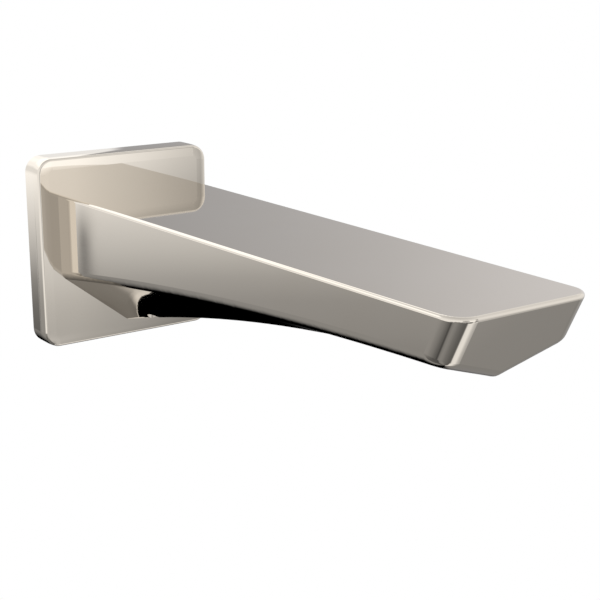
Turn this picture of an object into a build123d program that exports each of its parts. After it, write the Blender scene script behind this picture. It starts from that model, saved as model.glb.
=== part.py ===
from build123d import *
import math
import os

os.makedirs("parts", exist_ok=True)

# Wall mounted bath spout, millimetres, Z up.
# The origin is on the finished wall, on the axis of the water inlet.
# The spout stands out of the wall along -Y, and X runs to the right of someone facing the wall.
# Distances from the wall are written as "out", so a thing at out = 20 is at y = -20.

# ---- overall sizes ----
projection = 218.0          # wall to the top edge of the spout's tip
plate_size = 70.0           # square wall plate
plate_depth = 10.4          # wall to the plate's front face

# ---- wall plate and its gasket ----
plate_corner = 6.0          # corner radius seen from the front
plate_edge = 0.9            # tight round between the front and the sides
front_crown_width = 4.2     # the front is flat up to here, then falls away to the edge
front_crown_drop = 0.25
side_crown_width = 4.5      # the sides lean in over this depth before the edge
side_crown_drop = 0.35
plate_rim = 3.0             # wall thickness of the plate's hollow back
plate_web = 3.0             # thickness of the plate's front
plate_ledge = 3.4           # how far the gasket's seat stands in from the rim
plate_opening = 16.5        # radius of the hole round the inlet adapter
gasket_thick = 3.0
gasket_band = 6.0           # width of the foam on each side of the square

# ---- spout shell ----
width_at_wall = 55.0
width_at_tip = 47.6
top_height = 21.8           # top face above the inlet axis
side_drop_at_wall = 8.4     # lower edge of the side, below the axis at the plate
side_rise_at_tip = 8.4      # the same edge, above the axis at the tip
side_bow = 3.3              # how far that edge bows up between its ends
keel_drop_at_wall = 29.8    # bottom of the V, below the axis at the plate
keel_rise_at_tip = 0.4
keel_bow = 6.7
tip_lean = 26.3             # degrees that the tip's face leans back going down
tip_corner = 6.5            # rounded corner between a side and the tip's face
side_edge = 4.0             # soft edge between a side and the underside
keel_edge = 3.0             # soft edge along the keel
top_edge = 1.0              # small round on the edges of the top
shell_wall = 3.0
facet_wall = 3.7            # shell under the sloping facets, measured upwards

# ---- fits ----
solder_gap = 0.08           # radial or per side, filled with solder
slide_gap = 0.1             # pieces that slide together by hand
thread_gap = 0.05           # male and female threads drawn as plain cylinders
seal_gap = 0.05             # rubber drawn just clear of what it presses on
seat_gap = 0.02             # flat faces that press together

# ---- inlet adapter, with its washer and screen ----
adapter_start = 0.0         # rear face of the adapter, flush with the finished wall
adapter_end = 44.0
adapter_radius = 12.0
adapter_hex = 27.0          # across flats
adapter_hex_end = 9.0
adapter_chamfer = 0.6
adapter_bore = 6.5
pipe_thread_radius = 9.3    # half inch pipe thread, at its crests
pipe_thread_depth = 16.0
washer_seat_radius = 9.8    # relief past the thread, where the washer and screen lie
washer_thick = 2.0
screen_thick = 0.5
screen_hole_radius = 0.8
screen_pitch = 1.35         # hole spacing, in hole radii
screen_rows = 5
adapter_ring_places = (36.5, 41.0)
ring_section = 0.85         # O-ring wire radius
ring_slot_width = 2.2

# ---- hub inside the rear of the shell ----
hub_end = 56.0
adapter_bore_end = 45.5
tube_seat_depth = 7.0

# ---- set screw ----
grub_place = 31.0           # out from the wall
grub_groove_depth = 0.9     # groove round the adapter that the screw presses into
grub_groove_width = 7.0
grub_radius = 3.0
grub_length = 8.0
grub_point = 0.8
grub_hex = 3.0              # across the flats of its key socket
grub_hex_depth = 3.5
grub_hole_radius = 3.5      # way in through the keel

# ---- screws through the plate into the hub ----
plate_screw_radius = 2.0
plate_screw_reach = 9.0     # thread in the hub
plate_screw_spare = 1.0     # drilled deeper than the screw reaches
plate_screw_head = 3.5
plate_screw_head_height = 2.2
plate_screw_dome = 0.7      # round on the head
plate_hole_radius = 2.3
screw_land = 5.0            # centre of a side screw to the side of the hub
side_screw_x = width_at_wall / 2 - shell_wall - screw_land
side_screw_z = 9.5
keel_screw_land = 8.8       # centre of the lower screw above the bottom of the V
keel_screw_z = keel_screw_land - keel_drop_at_wall
cross_length = 3.6          # cross slot for the driver
cross_width = 0.9
cross_depth = 1.4

# ---- outlet ----
outlet_setback = 26.0       # tip's top edge back to the outlet's axis
outlet_place = projection - outlet_setback
pocket_radius = 12.3
pocket_top = 10.6
chamber_radius = 8.6
chamber_top = 17.8
passage_width = 15.0
passage_height = 6.6
collar_bottom = 4.3
collar_wall = 1.6

# ---- waterway tube ----
tube_radius = 6.0
tube_bore = 5.0
tube_height = 12.0          # axis at the tip, above the inlet axis
tube_setback = 20.0         # end of the tube back from the outlet's axis
tube_end = outlet_place - tube_setback
tube_rear_straight = 6.0    # straight run after the hub
tube_front_straight = 32.0  # straight run before the tube's end
hollow_setback = 11.0       # end of the tube back to the end of the hollow
shell_hollow_end = tube_end - hollow_setback

# ---- aerator ----
aerator_bottom = 4.6
aerator_wall = 1.1
aerator_lip = 0.8
aerator_lip_height = 0.8
washer_height = 0.9
key_slots = 4
key_slot_width = 2.0
key_slot_depth = 0.6
disc_thick = 1.0
jet_radius = 0.5
jet_rings = ((2.2, 6), (4.4, 12), (6.6, 18))
screen_height = 0.4
mesh_pitch = 1.3
mesh_hole = 0.9
mesh_count = 9
grid_band = 1.0
grid_bar = 0.4
grid_pitch = 1.8
grid_bars = 9

# ---- how the shapes are cut ----
past_tip = 1.1              # the blank runs past the tip before the tip is cut
centred = 0.01              # an edge this near the middle plane lies on it
overlap = 1.0               # cores run into each other by this much
underside_runs = (-0.05, 0.25, 0.5, 0.75, 1.05)


# ---- shape of the spout, measured along its length ----
# run is 0 at the plate's front face and 1 at the tip.
spout_length = projection - plate_depth


def bowed(start, end, bow, run):
    """Height of an edge that bows up between its two ends."""
    return start + (end - start) * run + 4 * bow * run * (1 - run)


def keel_height(run):
    return bowed(-keel_drop_at_wall, keel_rise_at_tip, keel_bow, run)


def side_height(run):
    return bowed(-side_drop_at_wall, side_rise_at_tip, side_bow, run)


def half_width(run):
    return (width_at_wall + (width_at_tip - width_at_wall) * run) / 2


def at_out(out):
    """Plane across the spout, facing away from the wall."""
    return Plane.XZ.offset(out)


def underside_section(run):
    """A pentagon wider and taller than the spout, whose V is the underside."""
    reach = 2 * half_width(run)
    slope = (side_height(run) - keel_height(run)) / half_width(run)
    low = keel_height(run)
    with BuildSketch(at_out(plate_depth + spout_length * run)) as section:
        with BuildLine():
            Polyline(
                (0, low),
                (reach, low + slope * reach),
                (reach, 2 * top_height),
                (-reach, 2 * top_height),
                (-reach, low + slope * reach),
                close=True,
            )
        make_face()
    return section.sketch


def hollow_section(out, gap):
    """The pentagon inside the shell, or a piece that fits there with a gap."""
    run = (out - plate_depth) / spout_length
    side = half_width(run) - shell_wall - gap
    slope = (side_height(run) - keel_height(run)) / half_width(run)
    low = keel_height(run) + facet_wall + gap * math.hypot(1, slope)
    high = top_height - shell_wall - gap
    with BuildSketch(at_out(out)) as section:
        with BuildLine():
            Polyline(
                (0, low),
                (side, low + slope * side),
                (side, high),
                (-side, high),
                (-side, low + slope * side),
                close=True,
            )
        make_face()
    return section.sketch


hollow_outs = (
    plate_depth,
    plate_depth + (shell_hollow_end - plate_depth) / 3,
    shell_hollow_end - (shell_hollow_end - plate_depth) / 3,
    shell_hollow_end,
)
tip_plane = Plane(
    origin=(0, -projection, top_height),
    x_dir=(1, 0, 0),
    z_dir=(0, -math.cos(math.radians(tip_lean)), -math.sin(math.radians(tip_lean))),
)
rear_ring_out = hub_end - tube_seat_depth / 2
front_ring_out = tube_end - tube_seat_depth / 2
ring_slot_radius = tube_radius + 2 * (ring_section + seal_gap)
adapter_slot_radius = adapter_radius + slide_gap - 2 * (ring_section + seal_gap)
grub_tip = adapter_radius - grub_groove_depth + seat_gap
grub_head = grub_tip + grub_length
collar_top = pocket_top - seat_gap
collar_radius = pocket_radius - solder_gap
collar_bore = collar_radius - collar_wall
aerator_radius = collar_bore - thread_gap
aerator_bore = aerator_radius - aerator_wall
insert_radius = aerator_bore - slide_gap
rubber_top = pocket_top - seal_gap
aerator_top = rubber_top - washer_height
disc_top = aerator_top - seat_gap
screen_top = disc_top - disc_thick - seat_gap
grid_bottom = aerator_bottom + aerator_lip_height + seat_gap
grid_top = screen_top - screen_height - seat_gap
plate_screw_places = ((-side_screw_x, side_screw_z), (side_screw_x, side_screw_z), (0, keel_screw_z))


def save(piece, name):
    """Name a piece and write it out."""
    piece.part.label = name
    export_step(piece.part, f"parts/{name}.step")


def ring_at(out, height, major):
    """Section of an O-ring round an axis that runs straight out of the wall."""
    with BuildSketch(Plane.YZ) as section:
        with Locations((-out, height + major)):
            Circle(ring_section)
    return section.sketch


def out_axis(height):
    return Axis((0, 0, height), (0, -1, 0))


def plate_section(inner):
    """Half of the plate's section, from inner to its edge: flat front, crowned rim, tight round."""
    edge = plate_size / 2
    meeting = (edge - side_crown_drop, front_crown_drop - plate_depth)
    with BuildSketch(Plane.XY) as section:
        with BuildLine():
            Polyline((inner, -plate_depth), (inner, 0), (edge, 0), (edge, side_crown_width - plate_depth))
            TangentArc((edge, side_crown_width - plate_depth), meeting, tangent=(0, -1))
            TangentArc((edge - front_crown_width, -plate_depth), meeting, tangent=(1, 0))
            Line((edge - front_crown_width, -plate_depth), (inner, -plate_depth))
        make_face()
        fillet(section.vertices().sort_by_distance(meeting)[0], radius=plate_edge)
    return section.sketch


# ---- core: the space inside the shell, open at the wall end ----
with BuildPart() as shell_hollow:
    loft([hollow_section(out, 0) for out in hollow_outs])

# ---- core: the tube's seat, passage, chamber and pocket at the outlet ----
with BuildPart() as outlet_hollow:
    with BuildSketch(at_out(shell_hollow_end - overlap)):
        with Locations((0, tube_height)):
            Circle(tube_radius + slide_gap)
    extrude(amount=tube_end - shell_hollow_end + overlap)
    with BuildSketch(at_out(front_ring_out - ring_slot_width / 2)):
        with Locations((0, tube_height)):
            Circle(ring_slot_radius)
    extrude(amount=ring_slot_width)
    with BuildSketch(at_out(tube_end)):
        with Locations((0, chamber_top - passage_height / 2)):
            SlotOverall(passage_width, passage_height)
    extrude(amount=outlet_place - tube_end)
    with BuildSketch(Plane.XY.offset(pocket_top)):
        with Locations((0, -outlet_place)):
            Circle(chamber_radius)
    extrude(amount=chamber_top - pocket_top)
    with BuildSketch(Plane.XY.offset(-keel_drop_at_wall)):
        with Locations((0, -outlet_place)):
            Circle(pocket_radius)
    extrude(amount=keel_drop_at_wall + pocket_top)

# ---- spout body: cast brass shell with a solid tip ----
with BuildPart() as spout_body:
    with BuildSketch(Plane.XY.offset(-2 * keel_drop_at_wall)):
        with BuildLine():
            Polyline(
                (-half_width(0), -plate_depth),
                (half_width(0), -plate_depth),
                (half_width(past_tip), -plate_depth - spout_length * past_tip),
                (-half_width(past_tip), -plate_depth - spout_length * past_tip),
                close=True,
            )
        make_face()
    extrude(amount=2 * keel_drop_at_wall + top_height)
    loft([underside_section(run) for run in underside_runs], mode=Mode.INTERSECT)
    split(bisect_by=tip_plane, keep=Keep.BOTTOM)
    # rounded corners at the tip, then the keel, the lower side edges and the rim of the top
    leaning = spout_body.faces().sort_by(Axis.Y)[0].edges().sort_by(Axis.X)
    fillet([leaning[0], leaning[-1]], radius=tip_corner)
    keel = spout_body.edges().filter_by(lambda e: abs(e.center().X) < centred).sort_by(SortBy.LENGTH)[-1]
    fillet(keel, radius=keel_edge)
    lower_sides = spout_body.edges().filter_by(GeomType.BSPLINE).filter_by(
        lambda e: e.length > spout_length / 2 and abs(e.center().X) > width_at_tip / 4
    ).sort_by(lambda e: abs(e.center().X))[-2:]
    fillet(lower_sides, radius=side_edge)
    rim = spout_body.faces().sort_by(Axis.Z)[-1].edges().filter_by(
        lambda e: e.bounding_box().min.Y < -plate_depth - top_edge
    )
    fillet(rim, radius=top_edge)
    add(shell_hollow.part, mode=Mode.SUBTRACT)
    add(outlet_hollow.part, mode=Mode.SUBTRACT)
    # clearance hole for the set screw, up through the keel
    with BuildSketch(Plane.XY.offset(-2 * keel_drop_at_wall)):
        with Locations((0, -grub_place)):
            Circle(grub_hole_radius)
    extrude(amount=2 * keel_drop_at_wall, mode=Mode.SUBTRACT)
save(spout_body, "spout_body")

# ---- hub: brass block brazed into the rear of the shell ----
with BuildPart() as inlet_hub:
    loft([hollow_section(out, solder_gap) for out in hollow_outs])
    split(bisect_by=at_out(hub_end), keep=Keep.BOTTOM)
    with BuildSketch(at_out(plate_depth)):
        Circle(adapter_radius + slide_gap)
    extrude(amount=adapter_bore_end - plate_depth, mode=Mode.SUBTRACT)
    with BuildSketch(at_out(adapter_bore_end)):
        Circle(tube_bore)
    extrude(amount=hub_end - adapter_bore_end, mode=Mode.SUBTRACT)
    with BuildSketch(at_out(hub_end - tube_seat_depth)):
        Circle(tube_radius + slide_gap)
    extrude(amount=tube_seat_depth, mode=Mode.SUBTRACT)
    with BuildSketch(at_out(rear_ring_out - ring_slot_width / 2)):
        Circle(ring_slot_radius)
    extrude(amount=ring_slot_width, mode=Mode.SUBTRACT)
    with BuildSketch(at_out(plate_depth)):
        with Locations(*plate_screw_places):
            Circle(plate_screw_radius + thread_gap)
    extrude(amount=plate_screw_reach + plate_screw_spare, mode=Mode.SUBTRACT)
    with BuildSketch(Plane.XY.offset(-2 * keel_drop_at_wall)):
        with Locations((0, -grub_place)):
            Circle(grub_radius + thread_gap)
    extrude(amount=2 * keel_drop_at_wall, mode=Mode.SUBTRACT)
save(inlet_hub, "inlet_hub")

# ---- wall plate: brass pressing with a hollow back and a softly crowned edge ----
with BuildPart() as plate_side:
    extrude(plate_section(0), amount=plate_size / 2 - plate_corner, both=True)

with BuildPart() as plate_turn:
    corner_centre = plate_size / 2 - plate_corner
    revolve(plate_section(corner_centre), axis=Axis((corner_centre, 0, 0), (0, -1, 0)), revolution_arc=90)

with BuildPart() as wall_plate:
    for quarter in range(4):
        add(plate_side.part.rotate(Axis.Y, 90 * quarter))
        add(plate_turn.part.translate((0, 0, corner_centre)).rotate(Axis.Y, 90 * quarter))
    with BuildSketch(Plane.XZ):
        RectangleRounded(plate_size - 2 * plate_rim, plate_size - 2 * plate_rim, plate_corner - plate_rim)
    extrude(amount=gasket_thick, mode=Mode.SUBTRACT)
    with BuildSketch(Plane.XZ):
        hollow_side = plate_size - 2 * (plate_rim + plate_ledge)
        RectangleRounded(hollow_side, hollow_side, plate_corner - plate_rim)
    extrude(amount=plate_depth - plate_web, mode=Mode.SUBTRACT)
    with BuildSketch(Plane.XZ):
        Circle(plate_opening)
        with Locations(*plate_screw_places):
            Circle(plate_hole_radius)
    extrude(amount=plate_depth, mode=Mode.SUBTRACT)
save(wall_plate, "wall_plate")

# ---- wall gasket: foam square that seals the plate to the wall ----
with BuildPart() as wall_gasket:
    with BuildSketch(Plane.XZ):
        gasket_side = plate_size - 2 * (plate_rim + slide_gap)
        RectangleRounded(gasket_side, gasket_side, plate_corner - plate_rim - slide_gap)
        gasket_window = gasket_side - 2 * gasket_band
        RectangleRounded(gasket_window, gasket_window, plate_corner - plate_rim, mode=Mode.SUBTRACT)
    extrude(amount=gasket_thick - seat_gap)
save(wall_gasket, "wall_gasket")

# ---- screws: pan heads behind the plate, threads in the hub ----
with BuildPart() as plate_screws:
    with BuildSketch(at_out(plate_depth - plate_web - seat_gap)):
        with Locations(*plate_screw_places):
            Circle(plate_screw_head)
    extrude(amount=-plate_screw_head_height)
    heads = plate_screws.faces().filter_by(Plane.XZ).group_by(Axis.Y)[-1].edges()
    fillet(heads, radius=plate_screw_dome)
    with BuildSketch(at_out(plate_depth - plate_web - seat_gap)):
        with Locations(*plate_screw_places):
            Circle(plate_screw_radius)
    extrude(amount=plate_web + plate_screw_reach)
    with BuildSketch(at_out(plate_depth - plate_web - plate_screw_head_height - seat_gap)):
        with Locations(*plate_screw_places):
            SlotOverall(cross_length, cross_width)
            SlotOverall(cross_length, cross_width, rotation=90)
    extrude(amount=cross_depth, mode=Mode.SUBTRACT)
save(plate_screws, "plate_screws")

# ---- inlet adapter: turned brass, screwed on the supply pipe ----
with BuildPart() as inlet_adapter:
    with BuildSketch(at_out(adapter_start)):
        RegularPolygon(adapter_hex / 2, 6, major_radius=False)
    extrude(amount=adapter_hex_end - adapter_start)
    with BuildSketch(at_out(adapter_start)):
        Circle(adapter_radius)
    extrude(amount=adapter_end - adapter_start)
    nose = inlet_adapter.faces().sort_by(Axis.Y)[0].edges()
    chamfer(nose, length=adapter_chamfer)
    with BuildSketch(at_out(adapter_start)):
        Circle(adapter_bore)
    extrude(amount=adapter_end - adapter_start, mode=Mode.SUBTRACT)
    with BuildSketch(at_out(adapter_start)):
        Circle(pipe_thread_radius)
    extrude(amount=pipe_thread_depth, mode=Mode.SUBTRACT)
    with BuildSketch(at_out(adapter_start + pipe_thread_depth)):
        Circle(washer_seat_radius)
    extrude(amount=slide_gap + washer_thick + screen_thick, mode=Mode.SUBTRACT)
    with BuildSketch(at_out(grub_place - grub_groove_width / 2)):
        Circle(2 * adapter_radius)
        Circle(adapter_radius - grub_groove_depth, mode=Mode.SUBTRACT)
    extrude(amount=grub_groove_width, mode=Mode.SUBTRACT)
    for place in adapter_ring_places:
        with BuildSketch(at_out(place - ring_slot_width / 2)):
            Circle(2 * adapter_radius)
            Circle(adapter_slot_radius, mode=Mode.SUBTRACT)
        extrude(amount=ring_slot_width, mode=Mode.SUBTRACT)
save(inlet_adapter, "inlet_adapter")

# ---- O-rings on the adapter, inside the hub ----
adapter_ring_major = adapter_radius + slide_gap - seal_gap - ring_section
with BuildPart() as adapter_rear_o_ring:
    revolve(ring_at(adapter_ring_places[0], 0, adapter_ring_major), axis=out_axis(0))
save(adapter_rear_o_ring, "adapter_rear_o_ring")

with BuildPart() as adapter_front_o_ring:
    revolve(ring_at(adapter_ring_places[1], 0, adapter_ring_major), axis=out_axis(0))
save(adapter_front_o_ring, "adapter_front_o_ring")

# ---- screen and washer in the relief past the pipe thread ----
washer_out = adapter_start + pipe_thread_depth + slide_gap
with BuildPart() as pipe_washer:
    with BuildSketch(at_out(washer_out)):
        Circle(washer_seat_radius - slide_gap)
        Circle(adapter_bore, mode=Mode.SUBTRACT)
    extrude(amount=washer_thick - seat_gap)
save(pipe_washer, "pipe_washer")

with BuildPart() as inlet_screen:
    with BuildSketch(at_out(washer_out + washer_thick)):
        Circle(washer_seat_radius - slide_gap)
        with HexLocations(screen_hole_radius * screen_pitch, screen_rows, screen_rows, major_radius=True):
            Circle(screen_hole_radius, mode=Mode.SUBTRACT)
    extrude(amount=screen_thick - seat_gap)
save(inlet_screen, "inlet_screen")

# ---- set screw: hex socket, clamps the hub to the adapter from below ----
with BuildPart() as set_screw:
    with BuildSketch(Plane.XY.offset(-grub_head)):
        with Locations((0, -grub_place)):
            Circle(grub_radius)
    extrude(amount=grub_length)
    point = set_screw.faces().sort_by(Axis.Z)[-1].edges()
    chamfer(point, length=grub_point)
    with BuildSketch(Plane.XY.offset(-grub_head)):
        with Locations((0, -grub_place)):
            RegularPolygon(grub_hex / 2, 6, major_radius=False)
    extrude(amount=grub_hex_depth, mode=Mode.SUBTRACT)
save(set_screw, "set_screw")

# ---- waterway tube: bent copper, from the hub up to the tip ----
with BuildPart() as waterway_tube:
    with BuildLine(Plane.YZ) as tube_path:
        start = hub_end - tube_seat_depth + seal_gap
        bend_start = hub_end + tube_rear_straight
        bend_end = tube_end - tube_front_straight
        middle = (bend_start + bend_end) / 2
        Line((-start, 0), (-bend_start, 0))
        Bezier((-bend_start, 0), (-middle, 0), (-middle, tube_height), (-bend_end, tube_height))
        Line((-bend_end, tube_height), (-tube_end + seal_gap, tube_height))
    with BuildSketch(at_out(start)):
        Circle(tube_radius)
        Circle(tube_bore, mode=Mode.SUBTRACT)
    sweep()
save(waterway_tube, "waterway_tube")

# ---- O-rings round the two ends of the tube ----
tube_ring_major = tube_radius + seal_gap + ring_section
with BuildPart() as tube_rear_o_ring:
    revolve(ring_at(rear_ring_out, 0, tube_ring_major), axis=out_axis(0))
save(tube_rear_o_ring, "tube_rear_o_ring")

with BuildPart() as tube_front_o_ring:
    revolve(ring_at(front_ring_out, tube_height, tube_ring_major), axis=out_axis(tube_height))
save(tube_front_o_ring, "tube_front_o_ring")

# ---- outlet collar: brass bush brazed into the pocket, threaded inside ----
with BuildPart() as outlet_collar:
    with BuildSketch(Plane.XY.offset(collar_bottom)):
        with Locations((0, -outlet_place)):
            Circle(collar_radius)
            Circle(collar_bore, mode=Mode.SUBTRACT)
    extrude(amount=collar_top - collar_bottom)
save(outlet_collar, "outlet_collar")

# ---- aerator shell: plastic, screws into the collar ----
with BuildPart() as aerator_shell:
    with BuildSketch(Plane.XY.offset(aerator_bottom)):
        with Locations((0, -outlet_place)):
            Circle(aerator_radius)
            Circle(aerator_bore - aerator_lip, mode=Mode.SUBTRACT)
    extrude(amount=aerator_lip_height)
    with BuildSketch(Plane.XY.offset(aerator_bottom + aerator_lip_height)):
        with Locations((0, -outlet_place)):
            Circle(aerator_radius)
            Circle(aerator_bore, mode=Mode.SUBTRACT)
    extrude(amount=aerator_top - aerator_bottom - aerator_lip_height)
    # slots in the lower rim for the fitting key
    with BuildSketch(Plane.XY.offset(aerator_bottom)):
        with Locations((0, -outlet_place)):
            with PolarLocations(aerator_radius, key_slots):
                Rectangle(3 * (aerator_wall + aerator_lip), key_slot_width)
    extrude(amount=key_slot_depth, mode=Mode.SUBTRACT)
save(aerator_shell, "aerator_shell")

# ---- washer between the aerator and the end of its thread ----
with BuildPart() as aerator_washer:
    with BuildSketch(Plane.XY.offset(aerator_top)):
        with Locations((0, -outlet_place)):
            Circle(aerator_radius)
            Circle(chamber_radius - slide_gap, mode=Mode.SUBTRACT)
    extrude(amount=washer_height)
save(aerator_washer, "aerator_washer")

# ---- jet disc: plastic plate of fine holes ----
with BuildPart() as jet_disc:
    with BuildSketch(Plane.XY.offset(disc_top - disc_thick)):
        with Locations((0, -outlet_place)):
            Circle(insert_radius)
            for radius, count in jet_rings:
                with PolarLocations(radius, count):
                    Circle(jet_radius, mode=Mode.SUBTRACT)
    extrude(amount=disc_thick)
save(jet_disc, "jet_disc")

# ---- aerator screen: stainless mesh disc ----
with BuildPart() as aerator_screen:
    with BuildSketch(Plane.XY.offset(screen_top - screen_height)):
        with Locations((0, -outlet_place)):
            Circle(insert_radius)
            with GridLocations(mesh_pitch, mesh_pitch, mesh_count, mesh_count):
                Rectangle(mesh_hole, mesh_hole, mode=Mode.SUBTRACT)
    extrude(amount=screen_height)
save(aerator_screen, "aerator_screen")

# ---- outlet grid: plastic honeycomb that straightens the stream ----
with BuildPart() as outlet_grid:
    with BuildSketch(Plane.XY.offset(grid_bottom)):
        with Locations((0, -outlet_place)):
            Circle(insert_radius)
            Circle(insert_radius - grid_band, mode=Mode.SUBTRACT)
            for bar in range(grid_bars):
                aside = (bar - (grid_bars - 1) / 2) * grid_pitch
                span = 2 * math.sqrt((insert_radius - grid_band / 2) ** 2 - aside ** 2)
                with Locations((aside, 0)):
                    Rectangle(grid_bar, span)
                with Locations((0, aside)):
                    Rectangle(span, grid_bar)
    extrude(amount=grid_top - grid_bottom)
save(outlet_grid, "outlet_grid")
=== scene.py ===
import math

import bmesh
import bpy
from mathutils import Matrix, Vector


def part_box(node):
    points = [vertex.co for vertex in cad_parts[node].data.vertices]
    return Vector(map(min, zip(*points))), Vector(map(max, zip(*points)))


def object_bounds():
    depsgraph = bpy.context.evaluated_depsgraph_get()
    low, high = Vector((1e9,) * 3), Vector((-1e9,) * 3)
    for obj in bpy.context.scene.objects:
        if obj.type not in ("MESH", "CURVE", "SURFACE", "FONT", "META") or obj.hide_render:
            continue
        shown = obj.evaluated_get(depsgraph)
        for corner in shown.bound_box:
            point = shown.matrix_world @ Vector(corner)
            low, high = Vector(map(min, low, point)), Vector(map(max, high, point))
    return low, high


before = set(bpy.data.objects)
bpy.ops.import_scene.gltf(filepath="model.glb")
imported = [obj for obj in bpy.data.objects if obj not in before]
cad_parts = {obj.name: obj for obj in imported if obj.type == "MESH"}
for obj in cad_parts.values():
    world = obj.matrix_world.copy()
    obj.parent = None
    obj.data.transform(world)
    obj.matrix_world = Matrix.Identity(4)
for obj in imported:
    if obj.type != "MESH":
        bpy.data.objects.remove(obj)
cad_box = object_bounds()
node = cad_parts


# ---- camera ----
# It stands to the left of the spout, out from the wall and a little above it,
# and looks back and down at the middle of the spout.
camera_turn = math.radians(-35.90)
camera_rise = math.radians(14.98)
camera_distance = 0.44329
camera_aim = Vector((0.02205, -0.0900, -0.00780))
camera_lens = 78.6
towards_camera = Vector(
    (
        math.cos(camera_rise) * math.sin(camera_turn),
        -math.cos(camera_rise) * math.cos(camera_turn),
        math.sin(camera_rise),
    )
)
camera_data = bpy.data.cameras.new("camera")
camera_data.sensor_width = 36.0
camera_data.lens = camera_lens
camera_data.clip_start = 0.01
camera_data.clip_end = 50.0
camera = bpy.data.objects.new("camera", camera_data)
camera.location = camera_aim + camera_distance * towards_camera
camera.rotation_euler = towards_camera.to_track_quat("Z", "Y").to_euler()
bpy.context.scene.collection.objects.link(camera)
bpy.context.scene.camera = camera
bpy.context.scene.view_settings.view_transform = "Standard"


# ---- studio ----
# A plain white room with soft white panels, grey cards and black flags round the object.
# Polished nickel shows little of its own, so most of its look is what stands here.
class Shade:
    """A shader socket that can be added, subtracted, multiplied and divided like a number."""

    def __init__(self, tree, socket=None):
        self.tree = tree
        self.socket = socket

    def node(self, kind, settings, sockets, output=0):
        """A node of any kind: its settings first, then the values or links of its sockets."""
        made = self.tree.nodes.new("ShaderNode" + kind)
        for name, setting in settings.items():
            if name == "stops":
                ramp = made.color_ramp
                while len(ramp.elements) < len(setting):
                    ramp.elements.new(1.0)
                for element, (place, colour) in zip(ramp.elements, setting):
                    element.position = place
                    element.color = colour
            else:
                setattr(made, name, setting)
        for name, given in sockets.items():
            if isinstance(given, Shade):
                self.tree.links.new(given.socket, made.inputs[name])
            else:
                made.inputs[name].default_value = given
        return Shade(self.tree, made.outputs[output]) if made.outputs else None

    def math(self, operation, first, second=0.0):
        return self.node("Math", {"operation": operation}, {0: first, 1: second})

    def __add__(self, other):
        return self.math("ADD", self, other)

    def __sub__(self, other):
        return self.math("SUBTRACT", self, other)

    def __rsub__(self, other):
        return self.math("SUBTRACT", other, self)

    def __mul__(self, other):
        return self.math("MULTIPLY", self, other)

    def __truediv__(self, other):
        return self.math("DIVIDE", self, other)

    __radd__ = __add__
    __rmul__ = __mul__

    def step(self, start, end):
        """0 before start and 1 after end, with a soft change between."""
        return self.node(
            "MapRange",
            {"interpolation_type": "SMOOTHSTEP"},
            {"Value": self, "From Min": start, "From Max": end},
        )

    def between(self, start, end, soft):
        """1 from start to end, with edges that fade over soft on each side."""
        begun = self.step(start - soft, start + soft)
        return begun * (1 - self.step(end - soft, end + soft))

    def ramp(self, places, values):
        """A value that runs straight from each place's value to the next one's."""
        low, high = places[0], places[-1]
        top = max(values)
        stops = [
            ((place - low) / (high - low), (value / top, value / top, value / top, 1.0))
            for place, value in zip(places, values)
        ]
        place = (self - low) / (high - low)
        return self.node("ValToRGB", {"stops": stops}, {"Fac": place}) * top

    def blend(self, first, second):
        """first where this is 0, second where it is 1."""
        return first * (1 - self) + second * self

    def tint(self, first, second):
        """The colour first where this is 0, second where it is 1."""
        given = {0: self, 6: first, 7: second}
        return self.node("Mix", {"data_type": "RGBA"}, given, output=2)


world = bpy.data.worlds.new("studio")
world.use_nodes = True
world.node_tree.nodes.clear()
bpy.context.scene.world = world
studio = Shade(world.node_tree)
way = studio.node("TexCoord", {}, {}, output="Generated")
way_x = studio.node("SeparateXYZ", {}, {"Vector": way}, output="X")
way_y = studio.node("SeparateXYZ", {}, {"Vector": way}, output="Y")
way_z = studio.node("SeparateXYZ", {}, {"Vector": way}, output="Z")
# turn is in degrees from straight into the wall, positive to the right; rise is from level
turn = studio.math("ARCTAN2", way_x, way_y) * math.degrees(1)
rise = studio.math("ARCSINE", way_z) * math.degrees(1)

# behind the wall on the left: a white panel that falls off to black near the floor
back_near = rise.ramp(
    (-26, -20, -16.1, -14.9, -13.8, -12.7, -11.5, -10.3, -9, -4, 2, 12, 18),
    (0.10, 0.11, 0.14, 0.19, 0.30, 0.52, 0.74, 0.95, 1.22, 1.10, 0.92, 0.92, 1.20),
)
back_far = rise.ramp(
    (-26, -20, -16.5, -15, -14, -12.8, -11.5, -10.3, -9, -4, 2, 12, 18),
    (0.10, 0.16, 0.32, 0.35, 0.43, 0.60, 0.76, 0.95, 1.22, 1.10, 0.92, 0.92, 1.20),
)
# a narrow black flag between the two, which darkens the side where it meets the plate
flag = turn.ramp(
    (-28.80, -28.42, -28.30, -28.20, -28.10, -27.95),
    (1.0, 0.36, 0.34, 0.50, 0.80, 1.0),
)
# the floor behind, on the left, which darkens to black under the spout
foot = turn.ramp(
    (-30, -24.6, -21.4, -17, -11.8, -6, 0, 4),
    (0.30, 0.27, 0.23, 0.18, 0.13, 0.06, 0.01, 0.0),
)
# behind the wall on the right: a grey card, lighter towards its far side, black at its foot
back_card = turn.ramp(
    (27, 30, 35, 40, 45, 50, 60),
    (0.37, 0.40, 0.46, 0.535, 0.64, 0.72, 0.78),
)
past_foot = turn.step(33, 40)
back_right = back_card * past_foot.blend(rise.step(-17, -6), 0.4 + 0.6 * rise.step(-26, -4))
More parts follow.
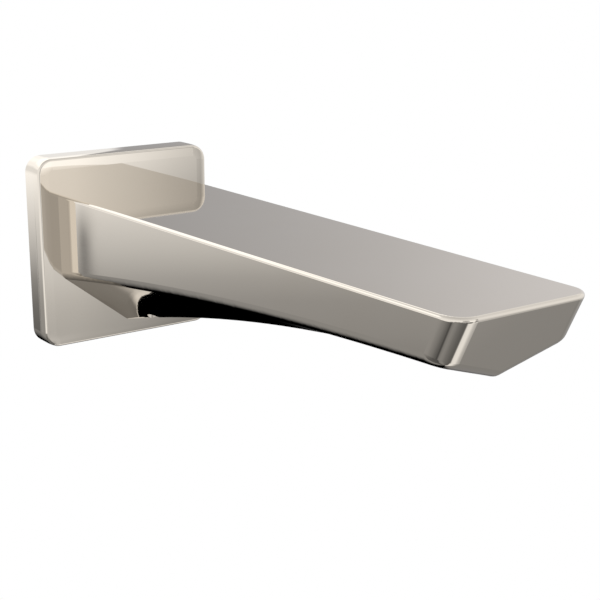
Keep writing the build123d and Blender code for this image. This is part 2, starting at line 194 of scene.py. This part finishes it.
# left of the object: a white panel down to just below level, then a sweep that darkens
left_panel = rise.ramp(
    (-45, -41, -37.5, -33.5, -29.5, -22, -19, -17, 20),
    (0.10, 0.12, 0.15, 0.20, 0.25, 0.31, 0.70, 1.0, 1.0),
)
left_card = rise.ramp(
    (-45, -33.5, -22, -18, -15.5, -12, 20),
    (0.12, 0.20, 0.31, 0.33, 0.36, 1.0, 1.0),
)
left = turn.step(-80, -68).blend(left_panel, left_card)
# in front on the left: a grey room with a few light strips, which the plate shows twice over
front_left = turn.ramp(
    (-178, -170, -163, -157, -155.2, -154.9, -154.65)
    + (-154.56, -154.44, -154.3, -154.06, -153.9, -153.7, -150),
    (0.66, 0.62, 0.52, 0.50, 0.52, 0.56, 0.58)
    + (0.68, 0.58, 0.61, 0.63, 0.70, 0.63, 0.60),
)
# in front on the right: a panel that fades to its right, downwards, and a little upwards
front_turn = turn.ramp(
    (140, 148, 149.5, 151, 152.8, 154, 156, 170),
    (0.52, 0.62, 0.76, 0.92, 1.08, 1.22, 1.29, 1.29),
)
front_rise = rise.ramp(
    (-22, -16, -15, -14, -10, -8.5, 2, 9, 12),
    (0.46, 0.41, 0.46, 0.54, 0.80, 1.02, 1.02, 0.78, 0.78),
)
# right of the object: a panel that darkens evenly to the floor
right = rise.ramp(
    (-55, -42, -30, -20, -10, 0, 20),
    (0.22, 0.28, 0.45, 0.65, 0.82, 0.92, 0.95),
)
# the floor in front: dark on the left, a light card on the right
low = turn.ramp(
    (-180, -163, -149, -136, -125, -115, -105, -96, 0, 36)
    + (56, 98, 106, 116, 127, 139, 152, 166, 174, 180),
    (0.12, 0.14, 0.17, 0.20, 0.25, 0.28, 0.24, 0.0, 0.0, 0.0)
    + (0.26, 0.26, 0.29, 0.50, 0.70, 0.95, 0.95, 0.90, 0.20, 0.12),
)
low_shadow = turn.between(159, 176, 2.0) * rise.between(-54, -25, 3.0)
shadow_tone = rise.ramp((-50, -42, -36, -30), (0.22, 0.25, 0.28, 0.39))
# overhead: a bright strip low down behind the wall, and a softer ceiling
strip = rise.ramp((20, 36, 44, 62, 90), (1.5, 1.4, 0.78, 0.66, 0.62))
ceiling = rise.ramp((20, 36, 62, 90), (0.94, 0.88, 0.70, 0.62))
overhead = turn.between(-48, 38, 6.0).blend(ceiling, strip)

is_back_right = turn.between(27.9, 75, 0.4)
is_right = turn.step(66, 84)
is_front = turn.step(136, 142)
is_left = 1 - turn.step(-48, -43)
is_front_left = turn.between(-178, -148, 1.5)
upper = turn.step(-27.8, -26).blend(back_far, back_near)
upper = rise.step(-12.4, -10).blend(upper * flag, upper)
upper = is_back_right.blend(upper, back_right)
above_foot = rise.step(-20, -16) * (1 - past_foot) + past_foot
upper = above_foot.blend(foot, upper)
upper = is_right.blend(upper, right)
upper = is_front.blend(upper, front_turn * front_rise)
upper = is_left.blend(upper, left)
upper = is_front_left.blend(upper, front_left)
is_low = (1 - rise.step(-40, -24)) * (1 - turn.between(-98, 14, 6.0))
light = is_low.blend(upper, low)
light = low_shadow.blend(light, light * shadow_tone)
light = rise.step(22, 30).blend(light, overhead)

seen = studio.node("LightPath", {}, {}, output="Is Camera Ray")
plain_white = (1.0, 1.0, 1.0, 1.0)
cool_white = (1.0, 0.993, 1.018, 1.0)
cool = (is_back_right * (1 - rise.step(16, 24))).tint(plain_white, cool_white)
glow = studio.node("Background", {}, {"Color": cool, "Strength": light})
plain = studio.node("Background", {}, {"Color": plain_white, "Strength": 1.0})
both = studio.node("MixShader", {}, {0: seen, 1: glow, 2: plain})
studio.node("OutputWorld", {}, {"Surface": both})


# ---- floor ----
# A plain pale floor a little below the object, which hangs from its wall.
# It is lit from within so that it stays even and casts no colour on the metal.
floor_gap = 0.02
floor_height = cad_box[0][2] - floor_gap
floor_half = 3.0
floor_mesh = bpy.data.meshes.new("floor")
floor_shape = bmesh.new()
bmesh.ops.create_grid(floor_shape, x_segments=1, y_segments=1, size=floor_half)
bmesh.ops.translate(floor_shape, verts=floor_shape.verts, vec=(0, 0, floor_height))
floor_shape.to_mesh(floor_mesh)
floor_shape.free()
floor = bpy.data.objects.new("floor", floor_mesh)
bpy.context.scene.collection.objects.link(floor)
floor.visible_glossy = False
floor.visible_diffuse = False


def material(name):
    """A new empty material, and the place where its nodes are made."""
    made = bpy.data.materials.new(name)
    made.use_nodes = True
    made.node_tree.nodes.clear()
    return made, Shade(made.node_tree)


floor_paint, shade = material("floor")
shade.node(
    "OutputMaterial",
    {},
    {"Surface": shade.node("Emission", {}, {"Color": plain_white, "Strength": 1.0})},
)
floor_mesh.materials.append(floor_paint)


# ---- spout body, wall plate and outlet collar: polished nickel ----
# Cast brass shell, pressed brass plate and turned bush, buffed and plated with bright nickel.
# The plating is a warm mirror with faint wipe marks and hair-fine buffing lines.
nickel_clean = (0.800, 0.742, 0.662, 1.0)
nickel_wiped = (0.788, 0.726, 0.642, 1.0)
wipe_scale = 24.0  # smears about 40 mm across
buffing = (3000.0, 120.0, 3000.0)
buffing_bump = (0.02, 0.000001)  # strength, then depth in metres
nickel_rough, wipe_rough, hair_rough = 0.026, 0.022, 0.010
nickel, shade = material("polished_nickel")


def field(shade, scale, detail=2.0, stretch=(1.0, 1.0, 1.0)):
    """Soft noise from 0 to 1 through the solid, in patches of about 1/scale metres."""
    spot = shade.node("TexCoord", {}, {}, output="Object")
    spot = shade.node("Mapping", {}, {"Vector": spot, "Scale": stretch})
    return shade.node("TexNoise", {}, {"Vector": spot, "Scale": scale, "Detail": detail})


def surface(made, shade, bump=None, **sockets):
    """The one surface shader of a material, with its bump if it has one."""
    given = {name.replace("_", " ").title(): value for name, value in sockets.items()}
    if bump is not None:
        height, strength, distance = bump
        given["Normal"] = shade.node(
            "Bump", {}, {"Height": height, "Strength": strength, "Distance": distance}
        )
    shade.node("OutputMaterial", {}, {"Surface": shade.node("BsdfPrincipled", {}, given)})
    return made


wipes = field(shade, wipe_scale, 3.0).step(0.42, 0.72)
hairs = field(shade, 1.0, 1.0, stretch=buffing)
surface(
    nickel,
    shade,
    bump=(hairs, *buffing_bump),
    base_color=wipes.tint(nickel_clean, nickel_wiped),
    metallic=1.0,
    roughness=nickel_rough + wipe_rough * wipes + hair_rough * hairs,
)
for name in ("spout_body", "wall_plate", "outlet_collar"):
    node[name].data.materials[0] = nickel


# ---- inlet hub and inlet adapter: bare brass ----
# The hub is milled from bar and brazed into the shell; the adapter is turned and threaded.
# Both are left unplated, so they have tool marks and a little brown tarnish.
brass_bright = (0.790, 0.600, 0.300, 1.0)
brass_tarnished = (0.520, 0.350, 0.160, 1.0)
turning_pitch = 0.00025
pipe_thread_pitch = 0.001814
pipe_thread_end = -0.016
pipe_thread_fade = 0.0001
pipe_thread_radius = 0.0094
turning_height = 0.03  # tool marks, as a share of the thread's depth
brass_bump = (0.7, 0.0005)
brass_rough, tarnish_rough, marks_rough = 0.20, 0.22, 0.05


def bands(shade, axis, pitch):
    """Ridges across an axis, one every pitch, 0 in the valleys and 1 on the crests."""
    spot = shade.node("TexCoord", {}, {}, output="Object")
    along = shade.node("SeparateXYZ", {}, {"Vector": spot}, output=axis)
    return shade.math("PINGPONG", along / pitch, 0.5) * 2


brass, shade = material("turned_brass")
tarnish = field(shade, 160.0, 4.0).step(0.45, 0.70)
marks = bands(shade, "Y", turning_pitch)
spot = shade.node("TexCoord", {}, {}, output="Object")
along = shade.node("SeparateXYZ", {}, {"Vector": spot}, output="Y")
across = shade.node("VectorMath", {"operation": "MULTIPLY"}, {0: spot, 1: (1.0, 0.0, 1.0)})
from_axis = shade.node("VectorMath", {"operation": "LENGTH"}, {0: across}, output="Value")
in_bore = 1 - from_axis.step(pipe_thread_radius, pipe_thread_radius + pipe_thread_fade)
in_thread = in_bore * along.step(pipe_thread_end - pipe_thread_fade, pipe_thread_end)
thread = bands(shade, "Y", pipe_thread_pitch) * in_thread
surface(
    brass,
    shade,
    bump=(turning_height * marks + thread, *brass_bump),
    base_color=tarnish.tint(brass_bright, brass_tarnished),
    metallic=1.0,
    roughness=brass_rough + tarnish_rough * tarnish + marks_rough * marks,
)
for name in ("inlet_hub", "inlet_adapter"):
    node[name].data.materials[0] = brass


# ---- waterway tube: copper ----
# Half inch copper tube, cut and bent, and held by an O-ring at each end.
# Drawing leaves fine lines along it, and handling leaves brown stains.
copper_bright = (0.860, 0.480, 0.320, 1.0)
copper_stained = (0.420, 0.200, 0.120, 1.0)
drawing_stretch = (1800.0, 30.0, 1800.0)
drawing_bump = (0.15, 0.00002)
copper_rough, stain_rough, drawing_rough = 0.18, 0.25, 0.08
copper, shade = material("drawn_copper")
stains = field(shade, 90.0, 5.0).step(0.44, 0.72)
drawing = field(shade, 1.0, 2.0, stretch=drawing_stretch)
surface(
    copper,
    shade,
    bump=(drawing, *drawing_bump),
    base_color=stains.tint(copper_bright, copper_stained),
    metallic=1.0,
    roughness=copper_rough + stain_rough * stains + drawing_rough * drawing,
)
node["waterway_tube"].data.materials[0] = copper


# ---- screws and screens: stainless steel ----
# Three pan head screws through the plate, a socket set screw up through the keel,
# and the punched and woven discs that keep grit out of the water.
steel_colour = (0.620, 0.610, 0.590, 1.0)
steel_dull = (0.500, 0.490, 0.470, 1.0)
grain_height = 0.06  # brushed grain, as a share of the thread's depth
steel_bump = (0.8, 0.0003)
steel_rough, dull_rough, grain_rough = 0.22, 0.16, 0.06


def steel_material(name, axis=None, pitch=None, start=0.0, end=0.0):
    """Brushed stainless; with an axis, it has a thread between start and end along it."""
    made, shade = material(name)
    dull = field(shade, 260.0, 4.0).step(0.40, 0.75)
    grain = field(shade, 4000.0, 2.0)
    height = grain_height * grain
    if axis:
        spot = shade.node("TexCoord", {}, {}, output="Object")
        along = shade.node("SeparateXYZ", {}, {"Vector": spot}, output=axis)
        soft = 0.1 * pitch
        height = height + bands(shade, axis, pitch) * along.between(start, end, soft)
    return surface(
        made,
        shade,
        bump=(height, *steel_bump),
        base_color=dull.tint(steel_colour, steel_dull),
        metallic=1.0,
        roughness=steel_rough + dull_rough * dull + grain_rough * grain,
    )


screw_low, screw_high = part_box("plate_screws")
screw_head_height = 0.0023
screw_thread_pitch = 0.0007
node["plate_screws"].data.materials[0] = steel_material(
    "screw_steel", "Y", screw_thread_pitch, screw_low[1], screw_high[1] - screw_head_height
)
grub_low, grub_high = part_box("set_screw")
grub_point = 0.0008
grub_thread_pitch = 0.001
node["set_screw"].data.materials[0] = steel_material(
    "set_screw_steel", "Z", grub_thread_pitch, grub_low[2], grub_high[2] - grub_point
)
steel = steel_material("screen_steel")
for name in ("inlet_screen", "aerator_screen"):
    node[name].data.materials[0] = steel


# ---- seals: black rubber ----
# Moulded O-rings and flat washers of nitrile rubber, greased when they are fitted.
# The rubber is nearly black, with a satin skin and a little dust.
rubber_black = (0.016, 0.016, 0.017, 1.0)
rubber_dusty = (0.050, 0.048, 0.045, 1.0)
rubber_bump = (0.25, 0.00005)
rubber_rough, dust_rough, skin_rough = 0.42, 0.25, 0.10
rubber, shade = material("black_rubber")
dust = field(shade, 700.0, 4.0).step(0.50, 0.75)
skin = field(shade, 5000.0, 3.0)
surface(
    rubber,
    shade,
    bump=(skin, *rubber_bump),
    base_color=dust.tint(rubber_black, rubber_dusty),
    roughness=rubber_rough + dust_rough * dust + skin_rough * skin,
)
for name in (
    "adapter_rear_o_ring",
    "adapter_front_o_ring",
    "tube_rear_o_ring",
    "tube_front_o_ring",
    "pipe_washer",
    "aerator_washer",
):
    node[name].data.materials[0] = rubber


# ---- wall gasket: grey foam ----
# Square frame die cut from closed-cell foam and pressed into the back of the plate.
# Its cut faces show the open bubbles of the foam as pits in the bump, painted darker inside:
# painted shade in the pits.
foam_light = (0.300, 0.300, 0.305, 1.0)
foam_pit_shade = (0.110, 0.110, 0.115, 1.0)
cell_scale = 1600.0  # bubbles about 0.6 mm across
foam_bump = (0.8, 0.0003)
foam_rough, patch_rough = 0.90, 0.05
patch_scale = 300.0
foam, shade = material("closed_cell_foam")
spot = shade.node("TexCoord", {}, {}, output="Object")
cell = shade.node("TexVoronoi", {}, {"Vector": spot, "Scale": cell_scale})
# darker towards the middle of each bubble, where the bump dips deepest: painted shade in the
# pits
pit_shade = 1 - cell.step(0.15, 0.55)
surface(
    foam,
    shade,
    bump=(cell, *foam_bump),
    base_color=pit_shade.tint(foam_light, foam_pit_shade),
    roughness=foam_rough + patch_rough * field(shade, patch_scale),
)
node["wall_gasket"].data.materials[0] = foam


# ---- aerator shell, jet disc and outlet grid: moulded plastic ----
# The shell is grey acetal; the jet disc and the grid that shows from below are white.
# Each is injection moulded, with a fine satin texture and a trace of limescale.
white_plastic, white_scaled, white_gloss = (
    (0.780, 0.775, 0.750, 1.0),
    (0.660, 0.640, 0.590, 1.0),
    0.34,
)
grey_plastic, grey_scaled, grey_gloss = (
    (0.360, 0.365, 0.375, 1.0),
    (0.520, 0.510, 0.480, 1.0),
    0.38,
)
scale_height = 0.6  # limescale, against the height of the satin texture
plastic_bump = (0.3, 0.00003)
scaled_rough, satin_rough = 0.20, 0.08


def plastic_material(name, colour, scaled, gloss):
    """Moulded plastic with a satin skin, and limescale in patches."""
    made, shade = material(name)
    scale_marks = field(shade, 420.0, 5.0).step(0.52, 0.74)
    grain = field(shade, 6000.0, 2.0)
    return surface(
        made,
        shade,
        bump=(grain + scale_height * scale_marks, *plastic_bump),
        base_color=scale_marks.tint(colour, scaled),
        roughness=gloss + scaled_rough * scale_marks + satin_rough * grain,
    )


white = plastic_material("white_acetal", white_plastic, white_scaled, white_gloss)
grey = plastic_material("grey_acetal", grey_plastic, grey_scaled, grey_gloss)
node["aerator_shell"].data.materials[0] = grey
node["jet_disc"].data.materials[0] = white
node["outlet_grid"].data.materials[0] = white
